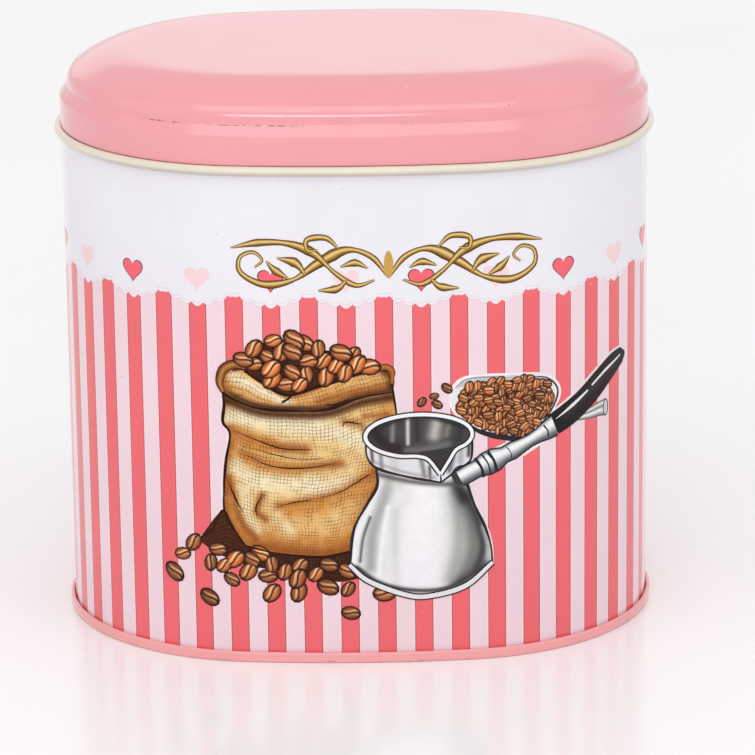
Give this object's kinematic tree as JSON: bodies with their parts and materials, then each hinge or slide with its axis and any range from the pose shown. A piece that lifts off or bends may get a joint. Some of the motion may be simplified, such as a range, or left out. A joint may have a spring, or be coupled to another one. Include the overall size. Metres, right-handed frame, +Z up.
{
  "type": "coffee tin",
  "caption": "Oval tinplate canister with a straight printed wall, a seamed base, a curled bead and neck, and a domed lid that lifts off.",
  "frame": {"origin": "centre of the footprint, on the surface that the tin stands on", "axes": "+X along the long way across, -Y towards the printed front, +Z up along the lid's lift"},
  "size_m": [0.1494, 0.1074, 0.1446],
  "materials": {
    "printed_wall": "glossy litho print on tinplate: white band over red and pale pink stripes, scallops, hearts and a picture",
    "base_enamel": "glossy pink enamel",
    "cream_lacquer": "semi-gloss cream can lacquer",
    "lid_enamel": "glossy pink enamel"
  },
  "bodies": {
    "tin": {"body_shell": "printed_wall", "bottom_end": "base_enamel", "neck_ring": "cream_lacquer"},
    "lid": {"lid": "lid_enamel"}
  },
  "joints": [
    {"name": "lid_lift", "type": "slide", "parent": "tin", "child": "lid", "axis": [0, 0, 1], "range_m": [0, 0.05]}
  ]
}
